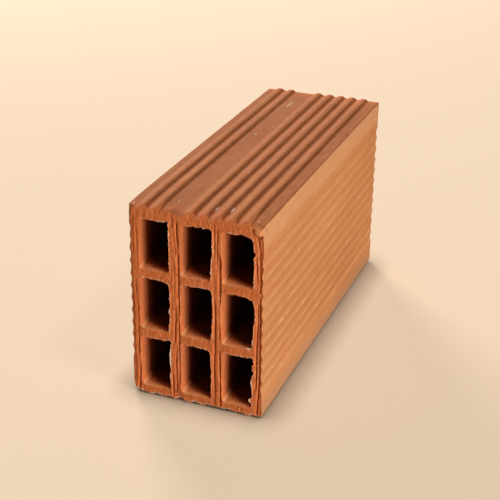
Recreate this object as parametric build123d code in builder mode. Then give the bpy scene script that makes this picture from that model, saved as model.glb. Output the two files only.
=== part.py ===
"""Hollow clay brick: one extruded, wire-cut and fired piece with nine cells from end to end.

Millimetres, +Z up. The cells run along Y, X is the width, and the origin is the middle of the
bed face that the brick stands on.
"""
import os
from math import atan, degrees, sin

from build123d import *

# Cells, webs and walls of the section
cell_columns = 3
cell_rows = 3
cell_width = 28.0
cell_height = 48.0
cell_corner_radius = 4.0
web_thickness = 9.0        # upright webs between columns of cells
shelf_thickness = 8.0      # level webs between rows of cells
side_wall = 9.0
bed_wall = 10.0            # cell to the crests of the ribs

# Length between the two wire cuts
length = 330.0

# Long outer edges, as the mouthpiece leaves them
edge_radius = 1.5

# Keying ribs that stand out of the two bed faces: a pair, a plain band, then a group of five
rib_pitch = 12.0
rib_height = 1.8
rib_gap = 0.6              # flat between the feet of two ribs
full_crest_share = 0.65    # of the radii of a rib's flank towards the group's edge, the crest's share
lean_crest_share = 0.4     # of the radii of a rib's other flank, the crest's share
pair_margin = 13.0         # side face to the crest of the nearest rib of the pair
group_margin = 17.0        # side face to the crest of the nearest rib of the group
pair_ribs = 2
group_ribs = 5

# Soft waves along the two side faces: a short ledge in from each crest, then a long slope out again
wave_pitch = 11.65
wave_depth = 1.0
wave_ledge = 4.0
wave_crest_share = 0.25    # of the radii of a wave's flank, the crest's share
right_margin = 24.5        # lower bed to the first crest on the right side
left_margin = 19.5         # upper bed to the first crest on the left side

# The outside follows from the cells, webs and walls
cell_pitch = cell_width + web_thickness
row_pitch = cell_height + shelf_thickness
width = cell_columns * cell_pitch - web_thickness + side_wall + side_wall
height = cell_rows * row_pitch - shelf_thickness + bed_wall + bed_wall

half_width = width / 2
half_height = height / 2
half_length = length / 2
bed_run = half_width - edge_radius
side_run = half_height - rib_height - edge_radius

# Crests of the ribs, in the order that a bed face is drawn in and from its middle
bed_ribs = [group_margin - half_width + i * rib_pitch for i in range(group_ribs)]
bed_ribs += [half_width - pair_margin - i * rib_pitch for i in reversed(range(pair_ribs))]

# As many waves as leave a plain strip at the far edge too
wave_count = int((height - right_margin - right_margin) / wave_pitch)


def bend(start, along, run, shift, first_share):
    """Carry the outline to its left by shift over run, in two arcs that leave it parallel to along."""
    swing = 2 * atan(shift / run)
    both_radii = run / sin(abs(swing))
    turn_off = JernArc(start, along, both_radii * first_share, degrees(swing))
    turn_back = JernArc(turn_off @ 1, turn_off % 1, both_radii * (1 - first_share), -degrees(swing))
    return turn_back @ 1


def ribbed_bed(middle, along):
    """Draw one bed face: flat, with rounded ribs that stand out to its right."""
    half_rib = (rib_pitch - rib_gap) / 2
    last = middle - along * bed_run
    for rib in bed_ribs:
        foot = middle + along * (rib - half_rib)
        Line(last, foot)
        crest = bend(foot, along, half_rib, -rib_height, 1 - full_crest_share)
        last = bend(crest, along, half_rib, rib_height, lean_crest_share)
    Line(last, middle + along * bed_run)
    JernArc(middle + along * bed_run, along, edge_radius, 90)


def waved_side(middle, along, margin):
    """Draw one side face: plain strips at both edges, and waves that dip to its left between them."""
    crest = middle + along * (margin - half_height)
    Line(middle - along * side_run, crest)
    for _ in range(wave_count):
        floor = bend(crest, along, wave_ledge, wave_depth, wave_crest_share)
        crest = bend(floor, along, wave_pitch - wave_ledge, -wave_depth, 1 - wave_crest_share)
    Line(crest, middle + along * side_run)
    JernArc(middle + along * side_run, along, edge_radius, 90)


with BuildPart() as brick_body:
    with BuildSketch(Plane((0, 0, half_height), x_dir=(1, 0, 0), z_dir=(0, -1, 0))) as section:
        # Outline: lower bed and right side, then the same half turned about the middle of the section
        with BuildLine() as outline:
            for turn, margin in ((1, right_margin), (-1, left_margin)):
                across = Vector(turn, 0)
                upward = Vector(0, turn)
                ribbed_bed(upward * (rib_height - half_height), across)
                waved_side(across * half_width, upward, margin)
        make_face()
        # Nine cells with rounded corners
        with GridLocations(cell_pitch, row_pitch, cell_columns, cell_rows):
            RectangleRounded(cell_width, cell_height, cell_corner_radius, mode=Mode.SUBTRACT)
    extrude(amount=half_length, both=True)

brick_body.part.label = "brick_body"

os.makedirs("parts", exist_ok=True)
export_step(brick_body.part, "parts/brick_body.step")
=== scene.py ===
import math
from collections import namedtuple

import bpy
import numpy as np
from mathutils import Matrix, Vector
from mathutils.geometry import delaunay_2d_cdt
from mathutils.kdtree import KDTree


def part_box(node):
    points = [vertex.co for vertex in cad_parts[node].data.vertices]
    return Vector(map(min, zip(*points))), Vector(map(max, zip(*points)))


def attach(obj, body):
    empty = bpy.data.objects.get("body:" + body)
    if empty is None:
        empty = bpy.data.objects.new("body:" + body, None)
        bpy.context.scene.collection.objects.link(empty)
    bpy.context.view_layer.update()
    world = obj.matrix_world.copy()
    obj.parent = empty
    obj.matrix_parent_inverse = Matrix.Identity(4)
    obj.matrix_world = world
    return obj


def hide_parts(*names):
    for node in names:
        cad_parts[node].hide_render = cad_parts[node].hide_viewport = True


# Lengths are millimetres until the mesh is made. X runs across the brick, Y along its cells and Z up,
# as in the frame. The photographed end, at low Y, is the front.
MM = 0.001
FRONT, BACK = -1, 1

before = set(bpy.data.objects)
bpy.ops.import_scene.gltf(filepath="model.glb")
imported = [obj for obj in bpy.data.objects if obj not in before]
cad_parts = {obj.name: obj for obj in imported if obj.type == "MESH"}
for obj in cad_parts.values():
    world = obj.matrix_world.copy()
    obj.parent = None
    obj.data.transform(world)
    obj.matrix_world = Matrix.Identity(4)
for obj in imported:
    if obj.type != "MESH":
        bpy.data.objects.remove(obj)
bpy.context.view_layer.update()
scene = bpy.context.scene
low, high = (np.array(corner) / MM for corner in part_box("brick_body"))
length = high[1] - low[1]
end_y = {FRONT: low[1], BACK: high[1]}


# Noise and other curves

# Odd multipliers that scatter the bits of a lattice point
SCATTER_X, SCATTER_Y, SCATTER_Z, SCATTER_SEED = 374761393, 668265263, 2246822519, 3266489917
LARGEST = 0xFFFFFFFF
NOISE_GAIN = 1.6  # brings the noise to about -1 to 1
OCTAVES = 3


def hashed(ix, iy, iz, seed):
    """A repeatable number from 0 to 1 for every lattice point."""
    h = (ix.astype(np.uint32) * np.uint32(SCATTER_X) + iy.astype(np.uint32) * np.uint32(SCATTER_Y)
         + iz.astype(np.uint32) * np.uint32(SCATTER_Z) + np.uint32((seed * SCATTER_SEED) & LARGEST))
    h = (h ^ (h >> np.uint32(15))) * np.uint32(SCATTER_Z)
    h = (h ^ (h >> np.uint32(13))) * np.uint32(SCATTER_SEED)
    return (h ^ (h >> np.uint32(16))).astype(np.float64) / LARGEST


def noise(x, y, z, seed):
    """Smooth noise from about -1 to 1."""
    x, y, z = np.broadcast_arrays(np.asarray(x, float), np.asarray(y, float), np.asarray(z, float))
    whole = [np.floor(c).astype(np.int64) for c in (x, y, z)]
    part = [c - w for c, w in zip((x, y, z), whole)]
    ease = [p * p * p * (p * (p * 6 - 15) + 10) for p in part]
    total = np.zeros(x.shape)
    for corner in range(8):
        step = (corner & 1, corner >> 1 & 1, corner >> 2)
        at = [w + s for w, s in zip(whole, step)]
        slope = sum((hashed(*at, seed * 7 + k) * 2 - 1) * (part[k] - step[k]) for k in range(3))
        weight = np.ones(x.shape)
        for k in range(3):
            weight = weight * (ease[k] if step[k] else 1 - ease[k])
        total += weight * slope
    return np.clip(total * NOISE_GAIN, -1, 1)


def rough(x, y, z, seed):
    """Noise with finer noise on it."""
    return sum(noise(x * 2 ** k, y * 2 ** k, z * 2 ** k, seed + 31 * k) * 0.5 ** k for k in range(OCTAVES))


def on_face(kind, x, z, size, seed):
    """Noise over a cut face, with marks of a size across and up."""
    return kind(x / size[0], 0, z / size[1], seed)


def drawn_out(x, y, z, size, seed):
    """Noise on a wall, with marks of a size across and along the extrusion."""
    return noise(x / size[0], y / size[1], z / size[0], seed)


def ease_in(value, start, end):
    """0 up to start, 1 from end, smooth between."""
    t = np.clip((value - start) / (end - start), 0, 1)
    return t * t * (3 - 2 * t)


def bell(gap, half):
    """1 where the gap is 0, about a third where it is half."""
    return np.exp(-(gap / half) ** 2)


def fade(gap, reach, power):
    """1 at the cut and 0 from reach on: a row for every gap, a column for every reach."""
    return np.clip(1 - gap[:, None] / np.atleast_1d(reach)[None, :], 0, 1) ** power


# The section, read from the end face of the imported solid

WELD_DECIMALS = 3  # points that agree to this many decimals are one point
END_TOLERANCE = 0.01
FINE_STEPS = 4  # fine points to each point that is kept
OUTER_SPACING = 1.0
CELL_SPACING = 0.85
FACET_ROUNDING = 0.4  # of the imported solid's facets
WEAR_TURN = 3.0  # points that the direction of wear takes to turn a corner


def end_face_loops(obj):
    """Outlines of the solid's low-Y end face as (x, z) points, with the clay to the left of each."""
    mesh = obj.data
    mesh.calc_loop_triangles()
    co = np.array([vertex.co for vertex in mesh.vertices], float) / MM
    tri = np.array([tuple(triangle.vertices) for triangle in mesh.loop_triangles])
    _, first, same = np.unique(np.round(co, WELD_DECIMALS), axis=0, return_index=True, return_inverse=True)
    points, tri = co[first], same.reshape(-1)[tri]
    ends = tri[(np.abs(points[tri][:, :, 1] - points[:, 1].min()) < END_TOLERANCE).all(1)]
    edges = {(a, b) for t in ends.tolist() for a, b in ((t[0], t[1]), (t[1], t[2]), (t[2], t[0]))}
    follow = {a: b for a, b in edges if (b, a) not in edges}
    loops = []
    while follow:
        start, here = follow.popitem()
        chain = [start]
        while here != start:
            chain.append(here)
            here = follow.pop(here)
        loops.append(points[chain][:, [0, 2]])
    return sorted(loops, key=lambda loop: -np.ptp(loop[:, 0]))


def blurred(ring, sigma):
    """A closed row of values, each the mean of its neighbours within about sigma of them."""
    reach = int(3 * sigma)
    weights = np.exp(-0.5 * (np.arange(-reach, reach + 1) / sigma) ** 2)
    total = sum(w * np.roll(ring, -k, axis=0) for k, w in zip(range(-reach, reach + 1), weights))
    return total / weights.sum()


def path_lengths(path):
    """How far along a line of points each of them lies."""
    return np.concatenate([[0], np.cumsum(np.linalg.norm(np.diff(path, axis=0), axis=1))])


def resampled(loop, spacing):
    """The closed outline with evenly spaced points and its facets rounded off."""
    ring = np.vstack([loop, loop[:1]])
    run = path_lengths(ring)
    count = int(round(run[-1] / spacing)) * FINE_STEPS
    at = np.arange(count) * run[-1] / count
    fine = np.stack([np.interp(at, run, ring[:, k]) for k in range(2)], 1)
    return blurred(fine, FACET_ROUNDING / (run[-1] / count))[::FINE_STEPS]


class Loop:
    """One outline of the section: its points, the direction out of the clay, and its middle."""

    def __init__(self, points):
        self.at = points
        ahead = np.roll(points, -1, axis=0) - np.roll(points, 1, axis=0)
        ahead /= np.linalg.norm(ahead, axis=1)[:, None]
        self.air = np.stack([ahead[:, 1], -ahead[:, 0]], 1)
        # the same direction, turned gently round the corners, for edges that are worn away
        around = blurred(self.air, WEAR_TURN)
        self.worn_from = around / np.linalg.norm(around, axis=1)[:, None]
        self.x, self.z = points[:, 0], points[:, 1]
        self.middle = (points.min(0) + points.max(0)) / 2

    def gap_to(self, point):
        return np.hypot(self.x - point[0], self.z - point[1])

    def noise(self, size, seed):
        return on_face(noise, self.x, self.z, (size, size), seed)


# The ribs' height above the beds' plain bands, and powers that make their flanks fuller than the die's arcs
RIB_HEIGHT = 1.8
LONG_FLANK, STEEP_FLANK = 1.4, 1.9


def rib_rise(loop):
    """How far up a rib each point of the outline lies: 0 on the plain bands, 1 on the crests."""
    return np.clip(1 - np.minimum(loop.z - low[2], high[2] - loop.z) / RIB_HEIGHT, 0, 1)


def fuller_ribs(loop):
    """Widens the ribs at half their height, so that only narrow notches are left between them."""
    outward = np.sign(loop.z - (low[2] + high[2]) / 2)
    fullness = np.where(loop.air[:, 0] * outward > 0, STEEP_FLANK, LONG_FLANK)
    rise = rib_rise(loop)
    gain = RIB_HEIGHT * (1 - (1 - rise) ** fullness - rise)
    return Loop(np.stack([loop.x, loop.z + outward * gain], 1))


raw_loops = end_face_loops(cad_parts["brick_body"])
outer = fuller_ribs(Loop(resampled(raw_loops[0], OUTER_SPACING)))
cells = [Loop(resampled(loop, CELL_SPACING)) for loop in raw_loops[1:]]
cells.sort(key=lambda c: (round(c.middle[1]), round(c.middle[0])))

# The upright walls and webs, from one cell's side to the next
lefts = sorted({round(c.x.min()) for c in cells})
rights = sorted({round(c.x.max()) for c in cells})
uprights = list(zip([low[0], *rights], [*lefts, high[0]]))


# Marks of the wire cut on the two ends

# Crevices between the layers of clay that the extruder pressed together: width, depth, (x, z) points
CREVICES = [
    # left wall
    (1.1, 0.8, [(-55.8, 170), (-55.6, 146), (-55.2, 118)]),
    (1, 0.7, [(-52.6, 160), (-52.2, 142), (-52, 124)]),
    (1.1, 1.2, [(-54.6, 112), (-54.2, 102), (-52.9, 89), (-52.8, 70), (-53.2, 55)]),
    (1.8, 3.2, [(-53, 58), (-53.2, 50), (-53.6, 37)]),
    (1.7, 3, [(-52.2, 29), (-52.4, 18), (-53.6, 8), (-54.4, 2)]),
    (1, 0.8, [(-57.2, 104), (-56.8, 72), (-57.2, 40), (-56.6, 12)]),
    (1.1, 1.6, [(-52.4, 68), (-50.6, 64.6), (-47.6, 62.2)]),
    # web between the left and middle cells
    (1.3, 2.4, [(-20.8, 177), (-20.6, 171), (-20, 164)]),
    (1.8, 3.4, [(-16.4, 172), (-16.2, 159), (-15.6, 150), (-15, 145)]),
    (1.7, 3.2, [(-15.1, 141), (-15.2, 130), (-15, 117), (-15.3, 105), (-15, 97), (-15.2, 84)]),
    (1, 1, [(-19.2, 160), (-18.2, 148), (-17.2, 137)]),
    (1, 1, [(-18.9, 134), (-18.5, 118), (-18.9, 102)]),
    (1.5, 2.6, [(-18, 92), (-18.6, 72), (-19.2, 56)]),
    (1.5, 2.6, [(-15.3, 79), (-15.2, 66), (-15.4, 52), (-15.2, 36), (-15.4, 16)]),
    (1.4, 2.2, [(-17.6, 54), (-18.3, 33), (-18, 17), (-18.4, 5)]),
    (1.2, 1.8, [(-21.4, 28), (-21.6, 14), (-21.4, 3)]),
    # web between the middle and right cells
    (1.2, 1.8, [(16.8, 175), (17, 158), (17.2, 142)]),
    (1, 1.2, [(19.6, 172), (19.3, 150), (19.8, 132)]),
    (1.8, 3.2, [(21.7, 146), (21.5, 128), (21.8, 110), (21.9, 93), (21.7, 78), (21.2, 67)]),
    (1.6, 2.8, [(17, 106), (17.4, 84), (17, 70), (16.8, 55), (16.4, 44), (16.5, 30), (17, 17),
                (16.3, 4)]),
    (1.7, 3, [(21.2, 57), (21.4, 43), (21.9, 34), (21.8, 20), (21.6, 3)]),
    (1, 1.8, [(25.9, 177), (26.1, 171)]),
    (1, 1.8, [(28.4, 177), (28.2, 171)]),
    # right wall
    (1.3, 2.8, [(53.6, 169), (54.6, 165), (55.7, 158), (56.3, 146), (56.7, 132), (56.6, 118)]),
    (1.3, 2.8, [(56.8, 116), (56.6, 104), (56.8, 90), (56.6, 75), (56.8, 58), (56.8, 43), (55.9, 22),
                (54.8, 3)]),
    (1.3, 2.2, [(53, 152), (53.3, 137), (54.4, 126)]),
    (1, 1.4, [(50.6, 177), (50.2, 172), (51.6, 169.6), (54.4, 168.4)]),
    (1.6, 2.8, [(55.2, 110), (55.1, 90), (54.3, 74), (54, 58), (54.1, 44), (53.9, 26)]),
]

# Tears and flaps at the mouths of the cells: (x, z), half length, how far into the cell, paleness
FLAPS = [
    ((-22.8, 41), 9, 1, 2.5), ((-23, 22), 5, 1.1, 1.4), ((-23, 86), 2, 1, 2),
    ((-23.5, 69), 5, 1.6, 1.1), ((-23, 167), 2.4, 0.9, 1.2), ((-30, 170), 5, 0.8, 1.6),
    ((14, 155), 16, -1.4, 0.4), ((14, 92), 18, -1.6, 0.4), ((14, 47), 6, 0.6, 0.5),
    ((51, 16), 2.4, 3.6, 2), ((51, 43.5), 1.2, -1.8, 0), ((51, 52.5), 1.4, -1.6, 0),
    ((51, 32), 6, 1, 1.2), ((51, 98), 8, -2, 0.3), ((49.5, 113), 3.4, 2.2, 0.4),
    ((51, 153), 2, -2.2, 0), ((51, 141), 4, -0.6, 0.5), ((49.5, 168.5), 4, 2.2, 0.3),
    ((42, 170), 4, -0.6, 0.6), ((47, 66), 3, 1.2, 1.8), ((51, 72), 3, 0.8, 1.6),
    ((-23, 113), 4, 1.6, 0.4), ((13, 57), 4, 1.4, 0.4),
    ((-24.2, 168.8), 2.2, -2, 0), ((-24.2, 56.8), 2.2, -2, 0), ((49.8, 56.8), 2.2, -1.6, 0),
]

# Outside corners and edges of the front that are worn round: (x, z), half length, by how much
WORN = [
    ((-58.5, 176.5), 4, 1.5), ((-58, 2.5), 5, 2), ((58, 176), 7, 2.6), ((-31, 0), 4, 0.6),
    ((-16, 0), 3, 2.2), ((7, 0), 5, 0.6), ((33, 0), 4, 0.6),
]

# How squarely a point faces some way, from where a mark sets in to where it is full
ROUGHLY, HALF, NEARLY, SQUARELY = (0.2, 0.9), (0.5, 0.9), (0.6, 0.9), (0.8, 0.93)

# Crevices: spacing of points, wobble, tapering ends, and shares of the depth and width above
CRACK_STEP, CRACK_POINTS = 1.1, 4
WOBBLE, WOBBLE_SIZE, WOBBLE_APART = 0.3, 3.0, 3.7
CRACK_TAPER, TIP_SHARE = 6.0, 0.55
DEPTH_MEAN, DEPTH_SWING, DEPTH_SIZE, DEPTH_APART = 0.72, 0.5, 7.0, 1.3
HALF_SHARE = 0.35

# A furrow leads down to each crevice: how wide it is, and its share of the depth
FURROW_REACH, FURROW_SHARE = 1.0, 0.42

# Relief of a cut face: how deep each kind of mark is, and its size across and up
FACE_DEPTH = 0.12
BROAD_DEPTH, BROAD_SWING, BROAD_SIZE = 0.30, 0.28, (24, 34)
WANDER, WANDER_SIZE = 0.35, (9, 26)
FLUTE_DEPTH, FLUTE_SIZE = 0.18, (2.4, 80)  # long furrows down the upright webs and walls
COMB_DEPTH, COMB_SIZE = 0.12, (1.9, 7)  # short ones everywhere
COMB_MORE, COMB_WANDER = 0.2, 0.3  # more between the uprights, and straighter
TORN_DEPTH, TORN_SIZE = 0.55, (3.0, 4.0)
RIDGE_POWER = 3
UPRIGHT_MARGIN = 1.0

# The front's left edge falls back: by how much, and from how far in
FALL_BACK, FALL_REACH = 1.2, 5.0

# A cap of smeared clay on the front's upper right corner, its edge and groove in radii, and the crease behind
CAP_MIDDLE, CAP_RADIUS, CAP_THICK = (55.0, 174.0), 5.6, 5.0
DOME_TOP, DOME_FALL = 0.05, 1.7
CAP_EDGE = (0.85, 1.1)
GROOVE_DEPTH, GROOVE_AT, GROOVE_HALF = 0.9, 1.03, 0.13
CAP_CREASE, CREASE_HALF, CREASE_END = 0.35, 0.6, (7, 10)

# Mouths of the cells: size of the noise, burrs, squared corners, wear and how far back they lie
MOUTH_FINE, MOUTH_SLOW = 2.1, 8.0
BURR_MEAN, BURR_FINE, BURR_SLOW, BURR_SMOOTH = 0.2, 0.75, 0.5, 0.15
TOP_BURR = 1.1
LEFT_BURR, LEFT_BURR_MORE, BURR_HEIGHT, LEFT_FACING = 0.2, 1.0, (30, 150), (0.5, 0.95)
SQUARE_TOP_LEFT, SQUARE_LOW_RIGHT, SQUARE_TOP_RIGHT = 2.2, 2.0, 0.8
MOUTH_WEAR, WEAR_SWING, FLOOR_WEAR, RAGGED_WEAR = 0.45, 0.25, 0.6, 0.1
RAGGED_LIP, SMOOTH_LIP = 0.35, 0.5

# The outside edge: size of the noise, wear and how far back it lies
RIM_FINE, RIM_SLOW = 2.2, 9.0
RIM_WEAR, SLOW_WEAR, FINE_WEAR, BOTTOM_WEAR = 0.5, 0.3, 0.35, 0.3
TOP_LESS, TOP_EVENER = 0.3, 0.6
LEAST_WEAR, MOST_WEAR = 0.12, 2.2
LEFT_WEAR, LEFT_WEAR_MORE, WEAR_HEIGHT = 0.5, 0.6, (120, 160)
FOOT_WEAR = 0.3
RIM_LIP = 0.4
WEAR_LIP, WEAR_LIP_MOST = 0.3, 2

# The plain band's front edge has come away: from where to where, how deep and how far in
BROKEN_COMES, BROKEN_GOES = (-25, -19), (-15, -5)
BROKEN_DEPTH, BROKEN_REACH = 1.3, 6.0
BROKEN_SHARE, BROKEN_FINE = 0.9, 0.15

# The front's upper right corner is rounded: over what size, and how far in
ROUNDED_SIZE, ROUNDED_REACH = 6.0, 26.0

# How far in burrs, wear, the torn face and pale crumbs reach from a cut
BURR_REACH, BURR_POWER = 2.6, 1.3
WEAR_REACH, REACH_SHARE, WEAR_POWER = 2.4, 2.2, 2.2
FACE_REACH = 7.0
PALE_REACH = 1.6
PALE_RIM = 1.7  # the same on the cut face

# Paleness of torn edges
MOUTH_PALE, RIM_PALE, BOTTOM_PALE = 0.65, 0.2, 0.45
PALE_SWING, PALE_SIZE = 0.8, 4.0
PALE_SIDES, PALE_BOTTOM, PALE_TOP = 0.25, 1.35, 0.5

# How far in the colour of the cut shows: hardly at all, but for the front part of the beds
BARE_REACH, BARE_BED = 0.1, 26.0

# What each point of an edge has; the lip is how far it lies back from the end
Edge = namedtuple("Edge", "burr wear reach lip pale crease bare")

# Seeds of the two ends, and what the mouths and the outside edge add to them
END_SEEDS = {FRONT: 11, BACK: 57}
MOUTH_SEED, SEED_STEP, RIM_SEED = 100, 13, 300


class EndCut:
    """What the wire did to one end: how ragged each mouth is and how the face is torn."""

    def __init__(self, side, crevices, flaps, worn):
        self.seed, self.flaps, self.worn = END_SEEDS[side], flaps, worn
        self.front = side == FRONT
        self.crevices = [self.crevice(number, *item) for number, item in enumerate(crevices)]

    def crevice(self, number, wide, deep, corners):
        """One crevice: points down its middle, their depth, and half its width there."""
        corners = np.array(corners, float)
        run = path_lengths(corners)
        at = np.linspace(0, run[-1], max(CRACK_POINTS, int(run[-1] / CRACK_STEP)))
        path = np.stack([np.interp(at, run, corners[:, k]) for k in range(2)], 1)
        path[:, 0] += WOBBLE * noise(at / WOBBLE_SIZE, number * WOBBLE_APART, 0, self.seed + 20)
        taper = np.sqrt(np.clip(np.minimum(at, run[-1] - at) / CRACK_TAPER, 0, 1))
        swing = noise(at / DEPTH_SIZE, number * DEPTH_APART, 0, self.seed + 21)
        depth = deep * taper * (DEPTH_MEAN + DEPTH_SWING * swing)
        return path, depth, HALF_SHARE * wide * (TIP_SHARE + (1 - TIP_SHARE) * taper)

    def furrows(self, x, z):
        """Depth of the furrows that lead down to the crevices."""
        deepest = np.zeros(x.shape)
        for path, deep, _ in self.crevices:
            gap = np.hypot(x[:, None] - path[:, 0], z[:, None] - path[:, 1])
            deepest = np.maximum(deepest, deep[gap.argmin(1)] * bell(gap.min(1), FURROW_REACH))
        return FURROW_SHARE * deepest

    def face(self, x, z):
        """How deep the face lies under the end of the solid, but for the crevices themselves."""
        s = self.seed
        upright = np.zeros(x.shape)
        for left, right in uprights:
            past_left = ease_in(x, left - UPRIGHT_MARGIN, left)
            upright = np.maximum(upright, past_left * (1 - ease_in(x, right, right + UPRIGHT_MARGIN)))
        broad = np.clip(BROAD_DEPTH + BROAD_SWING * on_face(noise, x, z, BROAD_SIZE, s), 0, 1)
        wander = WANDER * on_face(noise, x, z, WANDER_SIZE, s + 3)
        flutes = on_face(noise, x + wander, z, FLUTE_SIZE, s + 5)
        comb = on_face(noise, x + COMB_WANDER * wander, z, COMB_SIZE, s + 7)
        flutes, comb = ((1 - np.abs(ridges)) ** RIDGE_POWER for ridges in (flutes, comb))
        torn = np.clip(on_face(rough, x, z, TORN_SIZE, s + 9), 0, 1)
        recess = FACE_DEPTH + broad + FLUTE_DEPTH * upright * flutes
        recess += (COMB_DEPTH + COMB_MORE * (1 - upright)) * comb + TORN_DEPTH * torn
        recess += self.furrows(x, z)
        if self.front:
            recess += FALL_BACK * (1 - ease_in(x, low[0], low[0] + FALL_REACH))
            from_cap = np.hypot(x - CAP_MIDDLE[0], z - CAP_MIDDLE[1]) / CAP_RADIUS
            dome = DOME_TOP + DOME_FALL * from_cap ** 2
            recess += (1 - ease_in(from_cap, *CAP_EDGE)) * (dome - recess)
            recess += GROOVE_DEPTH * bell(from_cap - GROOVE_AT, GROOVE_HALF)
        return recess

    def mouth(self, loop, number):
        """The edge of one cell: smooth where the wire came in, ragged where it left the clay."""
        s = self.seed + MOUTH_SEED + SEED_STEP * number
        to_left, to_top = np.clip(loop.air[:, 0], 0, 1), np.clip(-loop.air[:, 1], 0, 1)
        to_right, to_bottom = np.clip(-loop.air[:, 0], 0, 1), np.clip(loop.air[:, 1], 0, 1)
        ragged = np.clip(ease_in(to_right, *ROUGHLY) + ease_in(to_top, *ROUGHLY), 0, 1)
        smooth = 1 - ragged
        fine = loop.noise(MOUTH_FINE, s)
        slow = loop.noise(MOUTH_SLOW, s + 1)
        burr = ragged * (BURR_MEAN + BURR_FINE * fine + BURR_SLOW * slow) + smooth * BURR_SMOOTH * fine
        burr += TOP_BURR * ease_in(to_top, *ROUGHLY)
        # the left edges stand in too, most of all in the upper cells
        higher = ease_in(loop.z, *BURR_HEIGHT)
        burr += ease_in(to_left, *LEFT_FACING) * (LEFT_BURR + LEFT_BURR_MORE * higher)
        # the corners are squarer at the mouth than further in, but for the one at the lower left
        burr -= (SQUARE_TOP_LEFT * to_left * to_top + SQUARE_LOW_RIGHT * to_right * to_bottom
                 + SQUARE_TOP_RIGHT * to_right * to_top)
        pale = ragged * np.clip(MOUTH_PALE + PALE_SWING * loop.noise(PALE_SIZE, s + 2), 0, 1)
        for point, half, amount, white in self.flaps:
            near = bell(loop.gap_to(point), half)
            burr += near * amount
            pale = np.maximum(pale, near * white)
        wear = smooth * (MOUTH_WEAR + WEAR_SWING * slow + FLOOR_WEAR * to_bottom) + ragged * RAGGED_WEAR
        lip = (RAGGED_LIP + SMOOTH_LIP * smooth) * self.face(loop.x, loop.z)
        lip += WEAR_LIP * wear
        none = np.zeros(len(wear))
        return Edge(burr, wear, WEAR_REACH + none, lip, pale, none, BARE_REACH + none)

    def rim(self, loop):
        """The outside edge, where nothing may stand proud of the brick."""
        s = self.seed + RIM_SEED
        fine = loop.noise(RIM_FINE, s)
        slow = loop.noise(RIM_SLOW, s + 1)
        top = ease_in(loop.air[:, 1], *ROUGHLY)
        bottom = ease_in(-loop.air[:, 1], *ROUGHLY)
        left = ease_in(-loop.air[:, 0], *HALF)
        uneven = 1 - TOP_EVENER * top
        wear = RIM_WEAR - TOP_LESS * top + SLOW_WEAR * uneven * slow
        wear += FINE_WEAR * np.clip(fine, 0, 1) * uneven
        wear = np.clip(wear + BOTTOM_WEAR * bottom * fine, LEAST_WEAR, MOST_WEAR)
        # the feet of the lower ribs are rubbed off, and the left edge is rounder than the right one
        wear += FOOT_WEAR * np.clip(RIB_HEIGHT - loop.z, 0, RIB_HEIGHT)
        wear += (LEFT_WEAR + LEFT_WEAR_MORE * ease_in(loop.z, *WEAR_HEIGHT)) * left
        for point, half, amount in self.worn:
            wear += amount * bell(loop.gap_to(point), half)
        none = np.zeros(len(wear))
        crease, broken, rounded, fallen = none, none, none, none
        if self.front:
            from_corner = loop.gap_to((high[0], high[2]))
            broken = top * ease_in(loop.x, *BROKEN_COMES) * (1 - ease_in(loop.x, *BROKEN_GOES))
            wear += BROKEN_DEPTH * broken * (BROKEN_SHARE + BROKEN_FINE * fine)
            crease = CAP_CREASE * (1 - ease_in(from_corner, *CREASE_END))
            rounded = bell(from_corner, ROUNDED_SIZE)
            fallen = FALL_BACK * left
        lip = RIM_LIP * self.face(loop.x, loop.z) + WEAR_LIP * np.clip(wear, 0, WEAR_LIP_MOST)
        lip += (1 - RIM_LIP) * fallen
        pale = RIM_PALE + BOTTOM_PALE * bottom + PALE_SWING * loop.noise(PALE_SIZE, s + 2)
        pale_share = PALE_SIDES + np.maximum(PALE_BOTTOM * bottom, PALE_TOP * top)
        pale = np.clip(pale, 0, 1) * pale_share
        reach = np.maximum(WEAR_REACH, REACH_SHARE * wear) + BROKEN_REACH * broken
        reach += ROUNDED_REACH * rounded
        return Edge(none, wear, reach, lip, pale, crease, BARE_REACH + BARE_BED * top)


def flipped(crevices):
    """The crevices of the other end: another pull of the wire through the same layers."""
    top = low[2] + high[2]
    return [(wide, deep, [(-x, top - z) for x, z in line]) for wide, deep, line in crevices]


cuts = {FRONT: EndCut(FRONT, CREVICES, FLAPS, WORN), BACK: EndCut(BACK, flipped(CREVICES), [], [])}


# Walls of the extrusion, in rows of points from end to end

# What the clay's colour needs to know about each point
MARKS = ("pale", "depth", "cut", "crack", "bed", "rib", "wave", "strip", "lit_floor_and_pale_cap")

# Distances of the rows from the two ends, and about how far apart they are between
SKIN_FRONT = [0, 0.4, 0.9, 1.6, 2.4, 3.3, 4.3, 5.0, 5.7, 7, 9.5, 13, 18, 24, 32]
SKIN_BACK = [0, 0.7, 1.6, 3.0, 5.0, 8.5, 14, 22, 32]
SKIN_STRIDE = 8.5
CELL_FRONT = [0, 0.5, 1.2, 2.2, 3.8, 6, 8.5, 11.5, 15, 22, 40]
CELL_BACK = [0, 0.8, 2.2, 6, 15, 40]
CELL_STRIDE = 90.0


def rows(front, back, stride):
    """Distances from the front, close together near both ends."""
    middle = length - back[-1] - front[-1]
    inner = np.linspace(front[-1], length - back[-1], max(2, int(round(middle / stride)) + 1))
    return np.concatenate([front[:-1], inner, length - np.array(back[-2::-1])])


# Streaks, lumps and dents of the outside and of the cells: depth, size across and along, seed
SKIN_KINDS = [(0.04, (2.4, 95), 401), (0.09, (15, 42), 402), (0.05, (6, 10), 403)]
CELL_KINDS = [(0.25, (3, 80), 501), (0.2, (12, 50), 502)]
CELL_RELIEF_FROM = (1, 8)
SKIN_DEPTH, SKIN_LEAST, SKIN_MOST = 0.13, 0.02, 2.0
NICK_DEPTH, NICK_SIZE, NICK_RARITY = 0.7, (3.2, 5.5), 0.55


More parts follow.
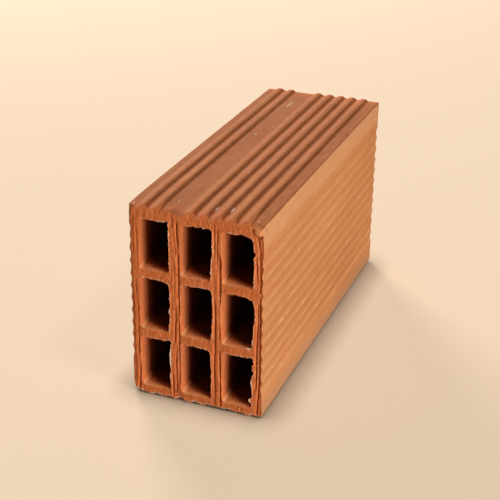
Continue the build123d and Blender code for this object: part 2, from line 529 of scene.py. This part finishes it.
def relief(kinds, x, y, z):
    """Marks of several kinds on a wall, drawn out along the extrusion."""
    return sum(depth * drawn_out(x, y, z, size, seed) for depth, size, seed in kinds)


def skin_relief(x, y, z):
    """How far the outside lies under the die's line."""
    nicks = NICK_DEPTH * np.clip(drawn_out(x, y, z, NICK_SIZE, 404) - NICK_RARITY, 0, 1)
    return np.clip(SKIN_DEPTH + relief(SKIN_KINDS, x, y, z) + nicks, SKIN_LEAST, SKIN_MOST)


# Marks on the ribs: crests rubbed lighter, also painted highlight on their flanks facing left, and painted
# shade on the flanks facing right (mirrored on the lower bed). Where up a rib and how steep, and how they
# fade along the brick
CREST_RISE, CREST_STEEP = (0.6, 0.95), (0.05, 0.25)
SHADE_RISE, SHADE_STEEP = (0.1, 0.6), (0.05, 0.3)
RIB_MARKS_FADE, FAINT_SHARE = (30, 270), 0.15


def rib_wear_and_painted_light(loop, along):
    """Rubbed crests of the ribs, lighter also as painted highlight on the flanks facing left (up to 1), and
    painted shade low on their steep flanks facing right, left on the lower bed (down to -1).
    """
    rise = rib_rise(loop)
    level = ease_in(np.abs(loop.air[:, 1]), *NEARLY)
    steep = loop.air[:, 0] * np.sign(loop.air[:, 1])
    crest = ease_in(rise, *CREST_RISE) * (1 - ease_in(steep, *CREST_STEEP))
    painted_shade = ease_in(steep, *SHADE_STEEP) * (1 - ease_in(rise, *SHADE_RISE))
    fading = 1 - (1 - FAINT_SHARE) * ease_in(along, *RIB_MARKS_FADE)
    return fading[:, None] * level * (crest - painted_shade)


# Painted light on the waves of the sides, lighter on the upward ledges, with painted shade under the crests:
# how steep a ledge or an underside is at its fullest, and how patchy it is
LEDGE_UP, UNDER_DOWN = 0.45, 0.26
WAVE_LIGHT_MEAN, WAVE_LIGHT_SWING, WAVE_LIGHT_LEAST, WAVE_LIGHT_MOST = 0.8, 0.6, 0.2, 1.3
WAVE_LIGHT_ALONG, WAVE_LIGHT_UP = 38.0, 11.0


def wave_painted_light(loop, y):
    """Painted light on the upward ledges of the waves (up to 1) and painted shade on the undersides of their
    crests (down to -1), in patches.
    """
    side = ease_in(np.abs(loop.air[:, 0]), *SQUARELY)
    ledge = np.clip(loop.air[:, 1] / LEDGE_UP, 0, 1)
    under = np.clip(-loop.air[:, 1] / UNDER_DOWN, 0, 1) ** 2
    patchy = WAVE_LIGHT_MEAN + WAVE_LIGHT_SWING * noise(y[:, None] / WAVE_LIGHT_ALONG, loop.z[None, :] / WAVE_LIGHT_UP, 0, 405)
    return side * (ledge - under) * np.clip(patchy, WAVE_LIGHT_LEAST, WAVE_LIGHT_MOST)


# Plain strips along the upper and lower edges of the sides, the upper one lighter as painted light and the
# lower one darker towards the floor as painted shade: where they fade out, from the edge
UPPER_STRIP, LOWER_STRIP = (-25, -17), (-24, -4)

# Painted light on the floors of the cells near their mouths reaches further in on the left, and painted shade
# makes the right get dark sooner
FLOOR_LIGHT_LEFT, FLOOR_LIGHT_RIGHT, FLOOR_LIGHT_END = 20.0, 2.0, (0.6, 1.3)
FLOOR_LIGHT_THINNER = 0.95
FLOOR_SHADE = 2.9


def cell_floor(loop, near_end):
    """Painted light on the floor of a cell near its mouth, and how far in every point of the cell looks, the
    floor's right side deeper for painted shade.
    """
    to_right = (loop.x - loop.x.min()) / np.ptp(loop.x)
    level = ease_in(loop.air[:, 1], *HALF)
    inward = near_end / (FLOOR_LIGHT_LEFT + (FLOOR_LIGHT_RIGHT - FLOOR_LIGHT_LEFT) * to_right)
    lit_floor_and_pale_cap = level * (1 - ease_in(inward, *FLOOR_LIGHT_END)) * (1 - FLOOR_LIGHT_THINNER * to_right)
    return lit_floor_and_pale_cap, near_end * (1 + FLOOR_SHADE * level * to_right)


# Shares of the marks: painted shade in the crease, the paler tone on the cap, the cut's colour at the ends,
# and the lighter clay on worn beds, which along the front's upper edge is also painted highlight
CREASE_DARK, CAP_SIDE_PALE = 0.4, 0.3
END_ROW_CUT, END_ROW_CUT_LESS, BARE_CUT = 0.7, 0.4, 0.75
WORN_BED = 0.8


def skin_of(loop, along, number):
    """Points of one wall, row by row from end to end, and their marks. The outside has no number."""
    shape = (len(along), len(loop.at))
    marks = {name: np.zeros(shape) for name in MARKS}
    shift, worn, lengthwise = np.zeros(shape), np.zeros(shape), np.zeros(shape)
    to_right = np.clip(loop.air[:, 0], 0, 1)

    for side, cut in cuts.items():
        gap = along if side == FRONT else length - along
        edge = cut.rim(loop) if number is None else cut.mouth(loop, number)
        crease = bell(gap - CAP_THICK, CREASE_HALF)[:, None] * edge.crease
        shift += fade(gap, BURR_REACH, BURR_POWER) * edge.burr - crease
        worn += fade(gap, edge.reach, WEAR_POWER) * edge.wear
        lengthwise -= side * fade(gap, FACE_REACH, 1) * edge.lip
        cap_pale = CAP_SIDE_PALE * fade(gap, CAP_THICK, 1) * edge.crease / CAP_CREASE
        marks["pale"] = np.maximum(marks["pale"], fade(gap, PALE_REACH, 1) * edge.pale)
        # Painted shade in the crease behind the cap
        marks["crack"] = np.maximum(marks["crack"], CREASE_DARK * crease / CAP_CREASE)
        marks["lit_floor_and_pale_cap"] = np.maximum(marks["lit_floor_and_pale_cap"], cap_pale)
        marks["cut"][np.argmin(gap)] = END_ROW_CUT - END_ROW_CUT_LESS * to_right
        marks["cut"] = np.maximum(marks["cut"], BARE_CUT * fade(gap, edge.bare, 2))

    y = low[1] + along
    places = loop.x[None, :], y[:, None], loop.z[None, :]
    near_end = np.minimum(along, length - along)[:, None] * np.ones(shape)
    if number is None:
        shift -= skin_relief(*places)
        # Worn clay shows the lighter tone of the sides: partly wear, and along the front's upper edge partly
        # painted highlight
        marks["bed"] += ease_in(np.abs(loop.air[:, 1]), *NEARLY) * (1 - WORN_BED * np.clip(worn, 0, 1))
        marks["rib"] = rib_wear_and_painted_light(loop, along)
        marks["wave"] = wave_painted_light(loop, y)
        marks["strip"] += ease_in(loop.z - high[2], *UPPER_STRIP) - ease_in(low[2] - loop.z, *LOWER_STRIP)
    else:
        shift += relief(CELL_KINDS, *places) * ease_in(near_end, *CELL_RELIEF_FROM)
        marks["cut"][:] = 1
        marks["lit_floor_and_pale_cap"], marks["depth"] = cell_floor(loop, near_end)
    across = loop.at + loop.air * shift[..., None] - loop.worn_from * worn[..., None]
    return np.stack([across[..., 0], y[:, None] + lengthwise, across[..., 1]], -1), marks


# The wire pulled the top of the front down: by how much, how far in it fades, and from what height up
DROOP, DROOP_REACH, DROOP_HEIGHT = 1.7, 16.0, 120.0


def drooped(points):
    """Lowers the top of the front, less and less towards the middle of its height."""
    share = np.exp(-(points[..., 1] - low[1]) / DROOP_REACH) * ease_in(points[..., 2], DROOP_HEIGHT, high[2])
    return points - DROOP * share[..., None] * np.array([0, 0, 1])


# Scoops broken out of the right edge of each end: height, and radii across, along and up
CHIPS = {
    FRONT: [(111, (1.8, 4.5, 5.0)), (102, (1.5, 4.0, 3.0)), (78, (1.5, 4.0, 3.5)),
            (62, (1.3, 3.0, 4.0)), (45, (1.2, 3.0, 5.0)), (28, (1.2, 3.0, 5.0))],
    BACK: [(121, (2.0, 4.0, 2.5))],
}
CHIP_TURN = 0.5  # how far a scoop turns along the brick for every step across it


def chipped(points):
    """Moves every point inside a scoop to the scoop's far surface."""
    moved = points.copy()
    for side, scoops in CHIPS.items():
        way = np.array([-1, -side * CHIP_TURN, 0])
        way /= np.linalg.norm(way)
        for z, radii in scoops:
            p = (moved - np.array([high[0], end_y[side], z])) / np.array(radii)
            w = way / np.array(radii)
            a, b, c = (w * w).sum(), (p * w).sum(-1), (p * p).sum(-1) - 1
            inside = c < 0
            travel = (-b + np.sqrt(np.maximum(b * b - a * c, 0))) / a
            moved[inside] += travel[inside][:, None] * way
    return moved


# The two cut faces

# Spacing across and up a face, whose marks run upright, and jitter as a share of it
FACE_SPACING = {FRONT: (0.62, 1.15), BACK: (1.1, 1.9)}
GRID_JITTER = 0.35
LATTICE_STEPS = 10  # in a millimetre

# Least distances: a crevice's middle or lips to an edge, and the grid to an edge or a crevice
MIDDLE_CLEAR, LIP_CLEAR = 0.7, 0.45
GRID_CLEAR = 0.5
CRACK_CLEAR = 0.5
SAME_POINT = 1e-6

# Paler tone on the cap, painted shade in the groove below it, and the depth from which a crevice's painted
# shade is quite dark
CAP_PALE, CAP_PALE_END = 0.7, (0.7, 1.0)
GROOVE_DARK_HALF, BELOW_CAP = 0.14, (-2, 2)
DARK_DEPTH = 1.4


def inside_polygon(points, polygon):
    """Even-odd test of many points against one closed outline."""
    hit = np.zeros(len(points), bool)
    for (xa, za), (xb, zb) in zip(polygon, np.roll(polygon, -1, axis=0)):
        crosses = (za > points[:, 1]) != (zb > points[:, 1])
        if crosses.any():
            x_at = xa + (points[:, 1] - za) / (zb - za) * (xb - xa)
            hit ^= crosses & (points[:, 0] < x_at)
    return hit


class Nearest:
    """Finds the nearest of many (x, z) points: its number and how far off it is."""

    def __init__(self, points):
        self.tree = KDTree(len(points))
        for i, (x, z) in enumerate(points):
            self.tree.insert((x, z, 0), i)
        self.tree.balance()

    def __call__(self, points):
        found = [self.tree.find((x, z, 0)) for x, z in points]
        return np.array([f[1] for f in found]), np.array([f[2] for f in found])


def in_clay(points, rings):
    """Which points lie inside the outer ring and outside every cell's ring."""
    found = inside_polygon(points, rings[0])
    for ring in rings[1:]:
        close = ((points > ring.min(0) - 1) & (points < ring.max(0) + 1)).all(1)
        found[close] &= ~inside_polygon(points[close], ring)
    return found


def crevice_points(cut, rings, nearest_edge):
    """Points down the middle and along both lips of the crevices, and their depth under the furrows."""
    points, depths = [], []
    for path, deep, half in cut.crevices:
        for sideways, share, clear in ((0, 1, MIDDLE_CLEAR), (-1, 0, LIP_CLEAR), (1, 0, LIP_CLEAR)):
            line = path + np.array([sideways, 0]) * half[:, None]
            keep = (nearest_edge(line)[1] > clear) & in_clay(line, rings)
            points.append(line[keep])
            depths.append(share * deep[keep])
    return np.vstack(points), np.concatenate(depths)


def face_grid(side, rings):
    """Points all over one cut face, in staggered rows that are a little out of line."""
    across, up = FACE_SPACING[side]
    lo, hi = rings[0].min(0), rings[0].max(0)
    x, z = np.meshgrid(np.arange(lo[0], hi[0], across), np.arange(lo[1], hi[1], up))
    x = x + (np.arange(x.shape[0]) % 2)[:, None] * across / 2
    grid = np.stack([x.ravel(), z.ravel()], 1)
    lattice = np.round(grid.T * LATTICE_STEPS).astype(np.int64)
    flat = np.zeros(len(grid), np.int64)
    jitter = np.stack([hashed(*lattice, flat, cuts[side].seed + k) for k in (40, 41)], 1)
    return grid + (jitter - 0.5) * GRID_JITTER * np.array([across, up])


def triangles_between(rings, points, squeeze):
    """Triangles of points, the rings' own first, that fill the clay and keep the rings as edges."""
    starts = np.cumsum([0] + [len(ring) for ring in rings])
    edges = [(a + i, a + (i + 1) % (b - a)) for a, b in zip(starts, starts[1:]) for i in range(b - a)]
    squeezed = [Vector(p) for p in points * (1, squeeze)]
    made = delaunay_2d_cdt(squeezed, edges, [], 0, SAME_POINT, True)
    source = np.array([s[0] if len(s) else -1 for s in made[3]])
    if (source < 0).any():
        raise RuntimeError(f"{(source < 0).sum()} outline edges cross on one end")
    tri = source[np.array(made[2])]
    return tri[in_clay(points[tri].mean(1), rings)]


def cut_face(side, rings, ring_pale):
    """Triangles of one end between the outer ring and the cells' rings, torn as the wire left it."""
    cut = cuts[side]
    across, up = FACE_SPACING[side]
    rings = [ring[:, [0, 2]] for ring in rings]
    fixed = np.vstack(rings)
    nearest_edge = Nearest(fixed)
    crack, crack_depth = crevice_points(cut, rings, nearest_edge)
    grid = face_grid(side, rings)
    grid = grid[(nearest_edge(grid)[1] > GRID_CLEAR * across) & in_clay(grid, rings)]
    grid = grid[Nearest(crack)(grid)[1] > CRACK_CLEAR]
    tri = triangles_between(rings, np.vstack([fixed, crack, grid]), across / up)

    inner = np.vstack([crack, grid])
    recess = cut.face(inner[:, 0], inner[:, 1])
    recess[:len(crack)] += (1 - FURROW_SHARE) * crack_depth
    points = np.stack([inner[:, 0], end_y[side] - side * recess, inner[:, 1]], 1)

    marks = {name: np.zeros(len(inner)) for name in MARKS}
    marks["cut"] += 1
    if cut.front:
        from_cap = np.hypot(*(inner - CAP_MIDDLE).T) / CAP_RADIUS
        below = ease_in(CAP_MIDDLE[1] - inner[:, 1], *BELOW_CAP)
        marks["lit_floor_and_pale_cap"] += CAP_PALE * (1 - ease_in(from_cap, *CAP_PALE_END))
        # Painted shade in the lower half of the groove round the cap
        marks["crack"] += below * bell(from_cap - GROOVE_AT, GROOVE_DARK_HALF)
    # Painted shade in each crevice, the darker the deeper it is
    marks["crack"][:len(crack)] = np.clip(crack_depth / DARK_DEPTH, 0, 1)
    number, gap = nearest_edge(inner)
    marks["pale"] = ring_pale[number] * np.clip(1 - gap / PALE_RIM, 0, 1)
    return tri, points, marks


# One closed mesh

def brick_shape():
    """Points, four-sided faces, triangles and marks: the walls, then the ends between them."""
    verts, quads, tris, marks = [], [], [], []
    ends = {FRONT: [], BACK: []}
    count = 0
    skin_rows = rows(SKIN_FRONT, SKIN_BACK, SKIN_STRIDE)
    cell_rows = rows(CELL_FRONT, CELL_BACK, CELL_STRIDE)
    for number, loop in [(None, outer), *enumerate(cells)]:
        points, mark = skin_of(loop, skin_rows if number is None else cell_rows, number)
        points = drooped(chipped(points))
        index = count + np.arange(points[..., 0].size).reshape(points.shape[:2])
        beside = np.roll(index, -1, axis=1)
        quads.append(np.stack([index[:-1], index[1:], beside[1:], beside[:-1]], -1).reshape(-1, 4))
        verts.append(points.reshape(-1, 3))
        marks.append(mark)
        for side, row in ((FRONT, 0), (BACK, -1)):
            ends[side].append((points[row], index[row], mark["pale"][row]))
        count += index.size

    for side, parts in ends.items():
        rings, indices, ring_pale = zip(*parts)
        tri, inner, mark = cut_face(side, rings, np.concatenate(ring_pale))
        tri = np.concatenate([*indices, count + np.arange(len(inner))])[tri]
        tris.append(tri if side == FRONT else tri[:, ::-1])
        verts.append(drooped(chipped(inner)))
        marks.append(mark)
        count += len(inner)

    marks = {name: np.concatenate([mark[name].ravel() for mark in marks]) for name in MARKS}
    return np.clip(np.vstack(verts), low, high), np.vstack(quads), np.vstack(tris), marks


def brick_mesh(verts, quads, tris, marks):
    """The brick as a smooth mesh, in metres, with its marks as attributes."""
    mesh = bpy.data.meshes.new("clay_brick")
    mesh.vertices.add(len(verts))
    mesh.vertices.foreach_set("co", (verts * MM).astype(np.float32).ravel())
    mesh.loops.add(quads.size + tris.size)
    corners = np.concatenate([quads.ravel(), tris.ravel()])
    mesh.loops.foreach_set("vertex_index", corners.astype(np.int32))
    mesh.polygons.add(len(quads) + len(tris))
    starts = np.concatenate([np.arange(len(quads)) * 4, quads.size + np.arange(len(tris)) * 3])
    mesh.polygons.foreach_set("loop_start", starts.astype(np.int32))
    mesh.update(calc_edges=True)
    mesh.validate()
    for name, values in marks.items():
        attribute = mesh.attributes.new(name, "FLOAT", "POINT")
        attribute.data.foreach_set("value", values.astype(np.float32))
    mesh.polygons.foreach_set("use_smooth", np.ones(len(mesh.polygons), bool))
    mesh.set_sharp_from_angle(angle=math.radians(60))
    return mesh


brick = bpy.data.objects.new("clay_brick", brick_mesh(*brick_shape()))
scene.collection.objects.link(brick)
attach(brick, "root")
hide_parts("brick_body")


# Materials

class Shader:
    """Builds a node tree by name: plain values go on sockets, sockets are linked."""

    def __init__(self, name):
        self.material = bpy.data.materials.new(name)
        self.material.use_nodes = True
        self.tree = self.material.node_tree
        self.tree.nodes.clear()

    def give(self, socket, value):
        if isinstance(value, bpy.types.NodeSocket):
            self.tree.links.new(value, socket)
        else:
            socket.default_value = value

    def add(self, kind, result=0, inputs=None, **settings):
        """A node of one kind: its output of that name or number, or the node itself for None."""
        made = self.tree.nodes.new(kind)
        for name, value in settings.items():
            setattr(made, name, value)
        for name, value in (inputs or {}).items():
            self.give(made.inputs[name], value)
        return made if result is None else made.outputs[result]

    def mark(self, name):
        return self.add("ShaderNodeAttribute", "Fac", attribute_name=name)

    def noise(self, coords, scale, detail, roughness=0.55):
        """Noise with a scale, per metre, across, along and up the brick."""
        stretched = self.add("ShaderNodeMapping", inputs={"Vector": coords, "Scale": scale})
        inputs = {"Vector": stretched, "Scale": 1.0, "Detail": detail, "Roughness": roughness}
        return self.add("ShaderNodeTexNoise", "Fac", inputs)

    def band(self, value, start, end, full=1.0, none=0.0):
        """None up to start, full from end, and in proportion between them."""
        inputs = {"Value": value, "From Min": start, "From Max": end, "To Min": none, "To Max": full}
        return self.add("ShaderNodeMapRange", inputs=inputs)

    def maths(self, operation, a, b):
        return self.add("ShaderNodeMath", inputs={0: a, 1: b}, operation=operation)

    def mix(self, share, a, b, blend="MIX"):
        made = self.add("ShaderNodeMix", None, data_type="RGBA", blend_type=blend)
        for socket, value in ((0, share), (6, a), (7, b)):
            self.give(made.inputs[socket], value)
        return made.outputs[2]

    def toned(self, colour, mark, tones):
        for full, share, tone in tones:
            colour = self.mix(self.band(mark, 0.0, full, share), colour, tone)
        return colour

    def spot(self, coords, middle, radii):
        """1 in the middle of an ellipsoid and 0 outside it, both in metres."""
        away = self.add("ShaderNodeVectorMath", inputs={0: coords, 1: middle}, operation="SUBTRACT")
        away = self.add("ShaderNodeVectorMath", inputs={0: away, 1: radii}, operation="DIVIDE")
        away = self.add("ShaderNodeVectorMath", "Value", {0: away}, operation="LENGTH")
        return self.band(away, 0.5, 1.0, 0.0, 1.0)


def rgb(r, g, b):
    return (r, g, b, 1.0)


# Colours of the outside
SIDE_DARK, SIDE_LIGHT = rgb(0.61, 0.255, 0.098), rgb(0.70, 0.315, 0.128)
BED_DARK, BED_LIGHT = rgb(0.56, 0.190, 0.064), rgb(0.63, 0.226, 0.080)
BLOTCH, STREAK = rgb(0.70, 0.60, 0.52), rgb(0.52, 0.180, 0.065)
# LEDGE_HIGHLIGHT is painted highlight, laid in dashes on the waves' lit ledges
LEDGE_HIGHLIGHT, FLECK = rgb(0.92, 0.62, 0.42), rgb(0.90, 0.60, 0.40)
SCUFF, BED_PIT = rgb(1.0, 0.82, 0.68), rgb(0.16, 0.04, 0.012)

# Colours that a mark adds on its way from 0: where they are full, their share, and the colour
# Strip tones: painted light on the upper strip, painted shade on the lower strip near the floor
STRIP_LIGHT_AND_SHADE = [(1, 0.7, rgb(0.72, 0.375, 0.190)), (-1, 0.7, rgb(0.50, 0.290, 0.160))]
# Rib tones: painted shade on the ribs' flanks facing right, and the crests' lighter tone, partly rubbed clay
# and partly painted highlight
RIB_TONES = [(-1, 0.7, rgb(0.30, 0.090, 0.028)), (1, 0.8, rgb(0.78, 0.285, 0.100))]
# Wave tones: painted shade under the crests and painted light on the ledges
WAVE_TONES = [(-1, 0.6, rgb(0.50, 0.175, 0.060)), (1, 0.45, rgb(0.84, 0.420, 0.195))]

# Colours of the cut ends, the cells and the grain; specks have a scale, two values of the noise and a share
CUT_DARK, CUT_LIGHT = rgb(0.71, 0.188, 0.057), rgb(0.87, 0.258, 0.085)
PIT, STROKE, CRUMB = rgb(0.20, 0.040, 0.010), rgb(0.32, 0.065, 0.018), rgb(0.90, 0.480, 0.260)
CUT_SPECKS = [((460, 460, 330), 0.66, 0.73, 0.6, PIT), ((720, 300, 150), 0.60, 0.70, 0.32, STROKE),
              ((520, 520, 380), 0.66, 0.74, 0.5, CRUMB)]
# CREVICE_SHADE is painted shade, laid in the crevices, the crease and the groove
TORN_EDGE, WHITE_EDGE, CREVICE_SHADE = rgb(0.84, 0.35, 0.17), rgb(0.93, 0.70, 0.55), rgb(0.18, 0.038, 0.009)
CELL_WALL, LIT_FLOOR_AND_CAP_TONE, CELL_SHADE = rgb(0.80, 0.232, 0.078), rgb(1.0, 0.450, 0.195), rgb(0.040, 0.016, 0.008)
GRAIN = rgb(0.84, 0.78, 0.72)

# How far in, in millimetres, a cell takes on its own colour and gets dark with painted shade
CELL_BEGINS, CELL_DARKENS = (0.4, 2.4), (8, 28)

# Scuffs and pits on the upper bed: x, distance from the front, half width, half length, paleness
BED_MARKS = [
    (12.2, 18, 0.9, 6.0, 1.0), (24.6, 21, 0.9, 6.5, 0.9), (-23.0, 22, 1.0, 1.6, 0.6),
    (-22.0, 193, 1.2, 4.0, 0.5), (-22.0, 288, 2.6, 13.0, 0.35), (52.0, 8, 1.3, 2.2, 0.6),
    (-24.0, 55, 0.8, 1.5, -0.6), (-16.0, 18, 0.9, 1.6, -0.7), (9.0, 96, 0.7, 2.0, 0.4),
    (34.0, 140, 0.7, 2.5, 0.4), (-48.0, 70, 0.8, 2.5, 0.35), (22.0, 220, 0.7, 2.0, -0.5),
    # Of the next two, the dark one at the very left edge by the front is painted shade on the rounded corner
    # turned away from the light
    (-56.0, 6, 1.0, 3.0, 0.8), (-60.0, 1, 1.6, 5.0, -0.5),
]
BED_MARK_HEIGHT = 6.0


def outside_colour(clay, coords):
    """Broad patches and streaks drawn out along the extrusion; the beds are redder than the sides."""
    lighter = clay.band(clay.noise(coords, (22, 9, 22), 4), 0.35, 0.68)
    side = clay.mix(lighter, SIDE_DARK, SIDE_LIGHT)
    side = clay.toned(side, clay.mark("strip"), STRIP_LIGHT_AND_SHADE)
    bed = clay.mix(lighter, BED_DARK, BED_LIGHT)
    bed = clay.toned(bed, clay.mark("rib"), RIB_TONES)
    on_bed = clay.mark("bed")
    skin = clay.mix(on_bed, side, bed)

    mottle = clay.band(clay.noise(coords, (170, 60, 170), 4, 0.65), 0.42, 0.70)
    blotchy = clay.maths("MULTIPLY", mottle, clay.band(on_bed, 0, 1, 0.55, 0.2))
    skin = clay.mix(blotchy, skin, BLOTCH, "MULTIPLY")
    streaks = clay.noise(coords, (420, 7, 420), 3)
    skin = clay.mix(clay.band(streaks, 0.48, 0.75, 0.28), skin, STREAK)

    # Painted light and shade on the waves
    wave = clay.mark("wave")
    skin = clay.toned(skin, wave, WAVE_TONES)
    # Broken dashes of painted highlight where the waves' painted light is strongest
    ledge_highlights = clay.band(clay.noise(coords, (300, 70, 300), 2), 0.52, 0.70)
    ledge_highlights = clay.maths("MULTIPLY", ledge_highlights, clay.band(wave, 0.2, 1.0, 0.5))
    skin = clay.mix(ledge_highlights, skin, LEDGE_HIGHLIGHT)
    flecks = clay.noise(coords, (330, 60, 330), 2)
    return clay.mix(clay.band(flecks, 0.70, 0.78, 0.35), skin, FLECK)


def cut_colour(clay, coords):
    """Redder clay, streaked by the wire from top to bottom, with pits and crumbs."""
    drag = clay.noise(coords, (480, 120, 90), 4)
    face = clay.mix(clay.band(drag, 0.34, 0.64), CUT_DARK, CUT_LIGHT)
    for scale, start, end, share, tone in CUT_SPECKS:
        face = clay.mix(clay.band(clay.noise(coords, scale, 2), start, end, share), face, tone)
    return face


def with_cells(clay, colour):
    """Adds the cells, with a pool of painted light on their floors near the mouth and a paler tone on the
    cap, and painted shade that makes them darker the further in they go.
    """
    depth = clay.mark("depth")
    colour = clay.mix(clay.band(depth, *CELL_BEGINS), colour, CELL_WALL)
    # Painted light on the cells' floors near their mouths, and the cap's paler tone
    colour = clay.mix(clay.mark("lit_floor_and_pale_cap"), colour, LIT_FLOOR_AND_CAP_TONE)
    # Painted shade deep in the cells
    return clay.mix(clay.band(depth, *CELL_DARKENS, 0.9), colour, CELL_SHADE)


def with_bed_marks(clay, coords, colour):
    """Adds the scuffs and pits on the upper bed."""
    for x, from_end, wide, long, paleness in BED_MARKS:
        middle = (x * MM, low[1] * MM + from_end * MM, high[2] * MM)
        there = clay.spot(coords, middle, (wide * MM, long * MM, BED_MARK_HEIGHT * MM))
        tone = SCUFF if paleness > 0 else BED_PIT
        colour = clay.mix(clay.maths("MULTIPLY", there, abs(paleness)), colour, tone)
    return colour


def with_torn_edges(clay, coords, colour):
    """Adds pale crumbs along torn edges, nearly white where they are palest, and painted shade in the
    crevices, the crease and the groove round the cap.
    """
    torn = clay.band(clay.noise(coords, (260, 260, 260), 3), 0.30, 0.50)
    pale = clay.maths("MULTIPLY", clay.mark("pale"), torn)
    colour = clay.mix(pale, colour, clay.mix(clay.band(pale, 0.55, 0.95), TORN_EDGE, WHITE_EDGE))
    return clay.mix(clay.mark("crack"), colour, CREVICE_SHADE)


def fired_clay():
    """Unglazed clay: pale and drawn out along the die outside, redder and torn where the wire cut it."""
    clay = Shader("fired_clay_looks")
    coords = clay.add("ShaderNodeTexCoord", "Object")
    grain = clay.noise(coords, (1500, 1500, 1500), 2)
    colour = clay.mix(clay.mark("cut"), outside_colour(clay, coords), cut_colour(clay, coords))
    colour = with_cells(clay, colour)
    colour = clay.mix(clay.band(grain, 0.3, 0.7, 0.4), colour, GRAIN, "MULTIPLY")
    colour = with_bed_marks(clay, coords, colour)
    colour = with_torn_edges(clay, coords, colour)

    fine_grain = clay.maths("MULTIPLY", grain, 0.35)
    height = clay.maths("ADD", fine_grain, clay.noise(coords, (600, 300, 600), 4))
    bump = clay.add("ShaderNodeBump", inputs={"Strength": 0.3, "Distance": 0.0006, "Height": height})
    looks = {"Base Color": colour, "Roughness": 0.92, "Specular IOR Level": 0.18, "Normal": bump}
    surface = clay.add("ShaderNodeBsdfPrincipled", inputs=looks)
    clay.add("ShaderNodeOutputMaterial", None, {"Surface": surface})
    return clay.material


brick.data.materials.append(fired_clay())


# Stage, in metres: pale floor, soft light, the photograph's camera

FLOOR_REACH = 12.0
FLOOR_TONE = rgb(0.97, 0.765, 0.56)
FLOOR_GLOW = 0.66  # share of the floor's tone that the camera sees whatever the light on it
LAMP_AIM = Vector((0, 0, 0.09))


def pale_floor():
    """A cream floor, evenly pale to the camera but for a soft shadow where the brick meets it."""
    ground = Shader("pale_floor")
    looks = {"Base Color": FLOOR_TONE, "Roughness": 0.95, "Specular IOR Level": 0.1}
    matt = ground.add("ShaderNodeBsdfPrincipled", inputs=looks)
    open_share = ground.add("ShaderNodeAmbientOcclusion", "AO", {"Distance": 0.03}, samples=8)
    open_share = ground.maths("POWER", open_share, 1.6)
    glow = ground.add("ShaderNodeEmission", inputs={"Color": FLOOR_TONE, "Strength": open_share})
    path = ground.add("ShaderNodeLightPath", None)
    seen = ground.maths("MAXIMUM", path.outputs["Is Camera Ray"], path.outputs["Is Glossy Ray"])
    seen = ground.maths("MAXIMUM", seen, path.outputs["Is Transmission Ray"])
    share = ground.maths("MULTIPLY", seen, FLOOR_GLOW)
    both = ground.add("ShaderNodeMixShader", inputs={0: share, 1: matt, 2: glow})
    ground.add("ShaderNodeOutputMaterial", None, {"Surface": both})
    return ground.material


floor_mesh = bpy.data.meshes.new("floor")
floor_corners = [(x * FLOOR_REACH, y * FLOOR_REACH, 0) for x, y in ((-1, -1), (1, -1), (1, 1), (-1, 1))]
floor_mesh.from_pydata(floor_corners, [], [(0, 1, 2, 3)])
floor_mesh.materials.append(pale_floor())
floor = bpy.data.objects.new("floor", floor_mesh)
scene.collection.objects.link(floor)

world = bpy.data.worlds.new("studio")
scene.world = world
world.use_nodes = True
backdrop = world.node_tree.nodes["Background"]
backdrop.inputs["Color"].default_value = rgb(1.0, 0.97, 0.93)
backdrop.inputs["Strength"].default_value = 0.07


def aimed(position, target):
    return (Vector(target) - Vector(position)).to_track_quat("-Z", "Y")


def lamp(name, azimuth, elevation, distance, size, power, tint):
    """A soft lamp, placed by its bearing from the middle of the brick; azimuth 0 is in front of it."""
    a, e = math.radians(azimuth), math.radians(elevation)
    back = Vector((math.sin(a) * math.cos(e), -math.cos(a) * math.cos(e), math.sin(e)))
    data = bpy.data.lights.new(name, "AREA")
    data.shape = "RECTANGLE"
    data.size, data.size_y = size
    data.energy, data.color = power, tint
    obj = bpy.data.objects.new(name, data)
    obj.location = LAMP_AIM + back * distance
    obj.rotation_mode = "QUATERNION"
    obj.rotation_quaternion = aimed(obj.location, LAMP_AIM)
    obj.visible_camera = False
    scene.collection.objects.link(obj)
    return obj


# A low strip from the right leaves the ribs' right flanks in shade, a weak lamp above it reaches into the
# cells, and the third rakes the upper bed from behind on the left
key = lamp("key_right", azimuth=60, elevation=-2.0, distance=1.3, size=(0.5, 0.036), power=10.6,
           tint=(1.0, 0.97, 0.92))
lamp("fill_high", azimuth=66, elevation=58, distance=2.5, size=(0.4, 0.4), power=16.0,
     tint=(1.0, 0.84, 0.67))
lamp("rake_left", azimuth=-140, elevation=23, distance=4.0, size=(1.2, 0.6), power=190,
     tint=(1.0, 0.96, 0.92))

# The key stands close to the floor, so it lights the brick alone
lit_by_key = bpy.data.collections.new("lit_by_key")
lit_by_key.objects.link(brick)
key.light_linking.receiver_collection = lit_by_key

camera_data = bpy.data.cameras.new("camera")
camera_data.sensor_width, camera_data.lens = 36.0, 83.179
camera_data.clip_start, camera_data.clip_end = 0.05, 100
camera = bpy.data.objects.new("camera", camera_data)
camera.location = Vector((340.49, -928.58, 547.48)) * MM
camera.rotation_mode = "QUATERNION"
camera_aim = Vector((-11.32, -11.10, 76.94)) * MM
camera_roll = Matrix.Rotation(math.radians(0.683), 3, "Z").to_quaternion()
camera.rotation_quaternion = aimed(camera.location, camera_aim) @ camera_roll
scene.collection.objects.link(camera)
scene.camera = camera
scene.view_settings.view_transform = "Standard"
